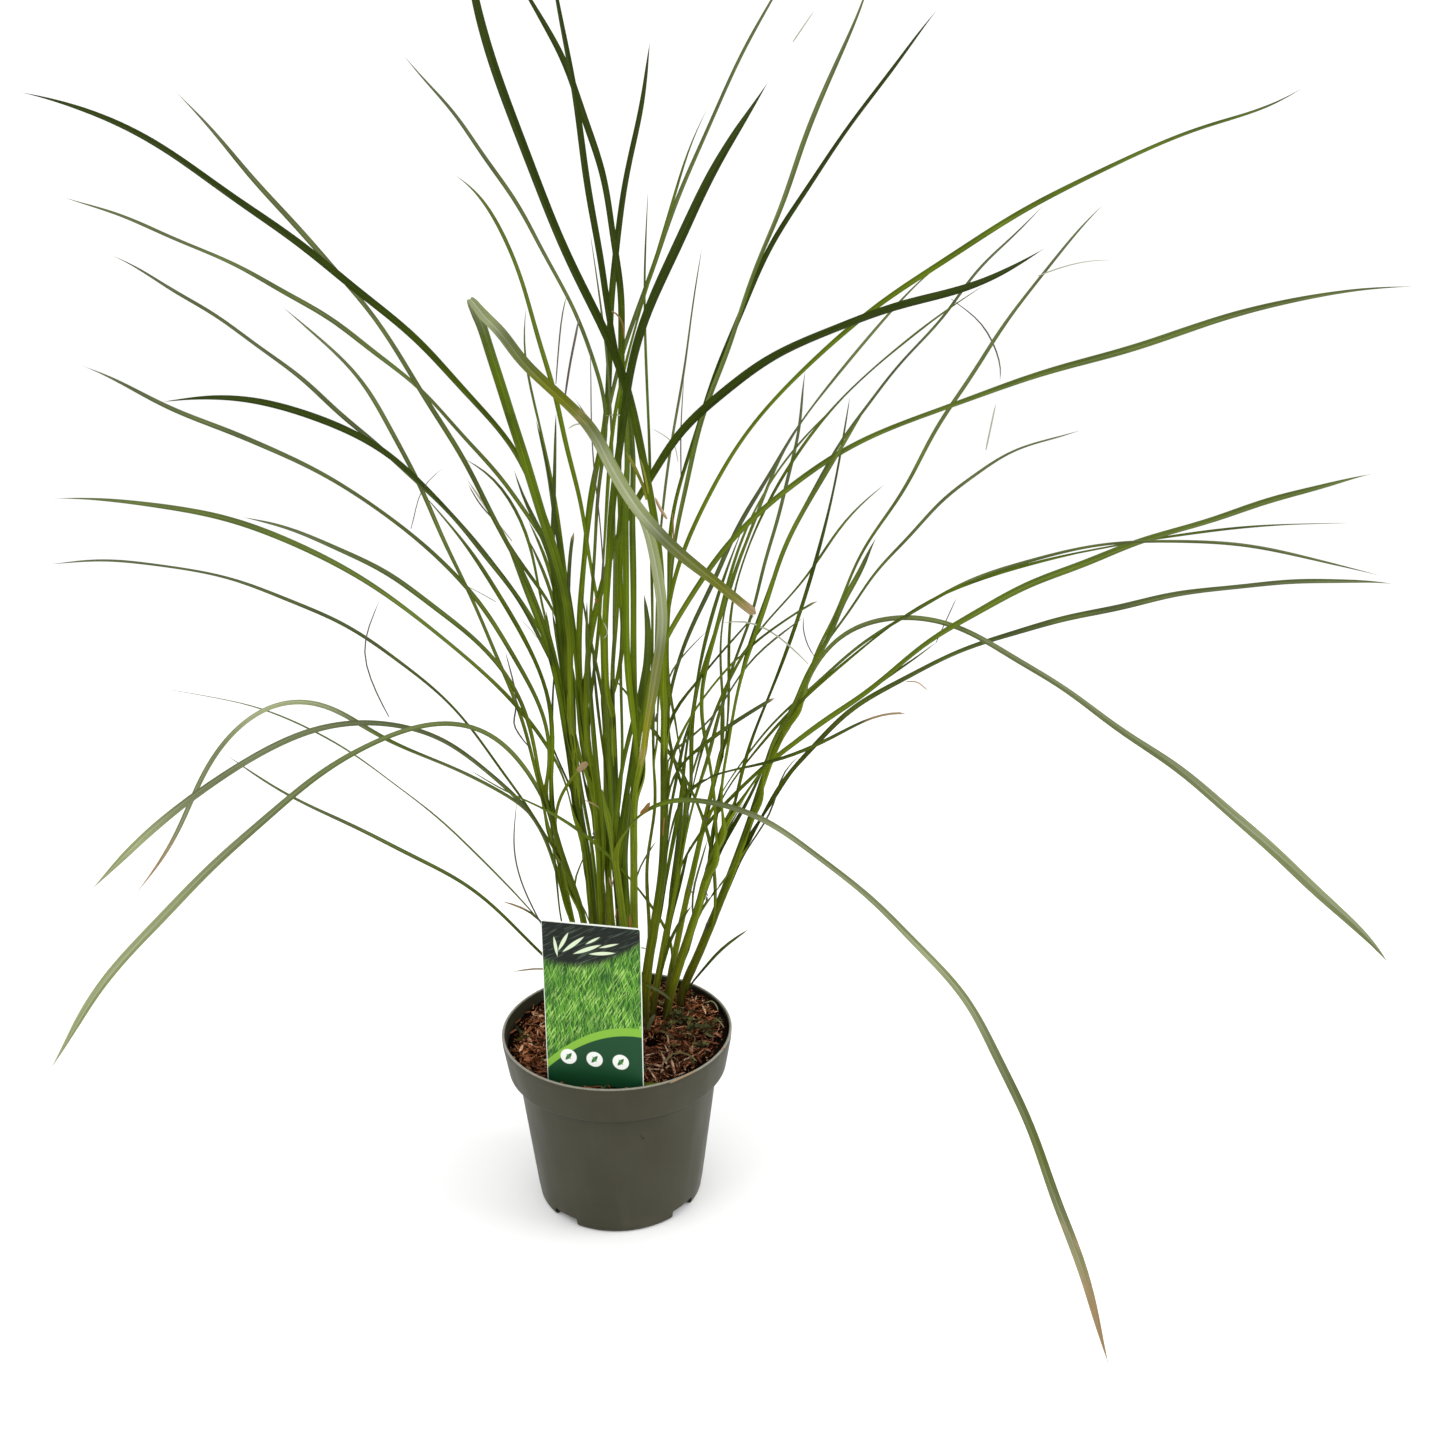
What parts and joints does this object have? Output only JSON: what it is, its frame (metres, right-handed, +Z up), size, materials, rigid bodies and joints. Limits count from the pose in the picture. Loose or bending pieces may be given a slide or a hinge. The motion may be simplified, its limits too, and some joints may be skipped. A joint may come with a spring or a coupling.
{
  "type": "potted grass clump",
  "caption": "Round plastic nursery pot holding a clump of long, narrow arching grass leaves on upright stems, with a card label in the potting mix.",
  "frame": {"origin": "centre of the pot's underside, on the surface it stands on", "axes": "+Z up along the pot's axis, -Y towards the side the label faces, +X to the right seen from that side"},
  "size_m": [0.9829, 0.77, 0.8933],
  "materials": {
    "pot_plastic": "satin moulded",
    "mix_bark": "rough bark and coir",
    "label_plastic": "printed",
    "sheath_green": "smooth plant skin",
    "leaf_green": "fresh leaf"
  },
  "bodies": {
    "root": {"pot": "pot_plastic", "potting_mix": "mix_bark", "plant_label": "label_plastic", "stem_01": "sheath_green", "stem_02": "sheath_green", "stem_03": "sheath_green", "stem_04": "sheath_green", "stem_05": "sheath_green", "stem_06": "sheath_green", "stem_07": "sheath_green", "stem_08": "sheath_green", "stem_09": "sheath_green", "stem_10": "sheath_green", "stem_11": "sheath_green", "stem_12": "sheath_green", "stem_13": "sheath_green", "stem_14": "sheath_green", "stem_15": "sheath_green", "leaf_left_01": "leaf_green", "leaf_left_02": "leaf_green", "leaf_left_03": "leaf_green", "leaf_left_04": "leaf_green", "leaf_left_05": "leaf_green", "leaf_left_06": "leaf_green", "leaf_left_07": "leaf_green", "leaf_left_08": "leaf_green", "leaf_left_09": "leaf_green", "leaf_left_10": "leaf_green", "leaf_left_11": "leaf_green", "leaf_left_12": "leaf_green", "leaf_left_13": "leaf_green", "leaf_left_14": "leaf_green", "leaf_left_15": "leaf_green", "leaf_left_16": "leaf_green", "leaf_front_folded": "leaf_green", "leaf_front_pale": "leaf_green", "leaf_top_01": "leaf_green", "leaf_top_02": "leaf_green", "leaf_top_03": "leaf_green", "leaf_top_04": "leaf_green", "leaf_top_05": "leaf_green", "leaf_top_06": "leaf_green", "leaf_top_07": "leaf_green", "leaf_top_08": "leaf_green", "leaf_right_01": "leaf_green", "leaf_right_02": "leaf_green", "leaf_right_03": "leaf_green", "leaf_right_04": "leaf_green", "leaf_right_05": "leaf_green", "leaf_right_06": "leaf_green", "leaf_right_07": "leaf_green", "leaf_right_08": "leaf_green", "leaf_right_09": "leaf_green", "leaf_right_10": "leaf_green", "leaf_right_11": "leaf_green", "leaf_middle_01": "leaf_green", "leaf_middle_02": "leaf_green", "leaf_middle_03": "leaf_green", "leaf_middle_04": "leaf_green", "leaf_middle_05": "leaf_green"}
  },
  "joints": []
}
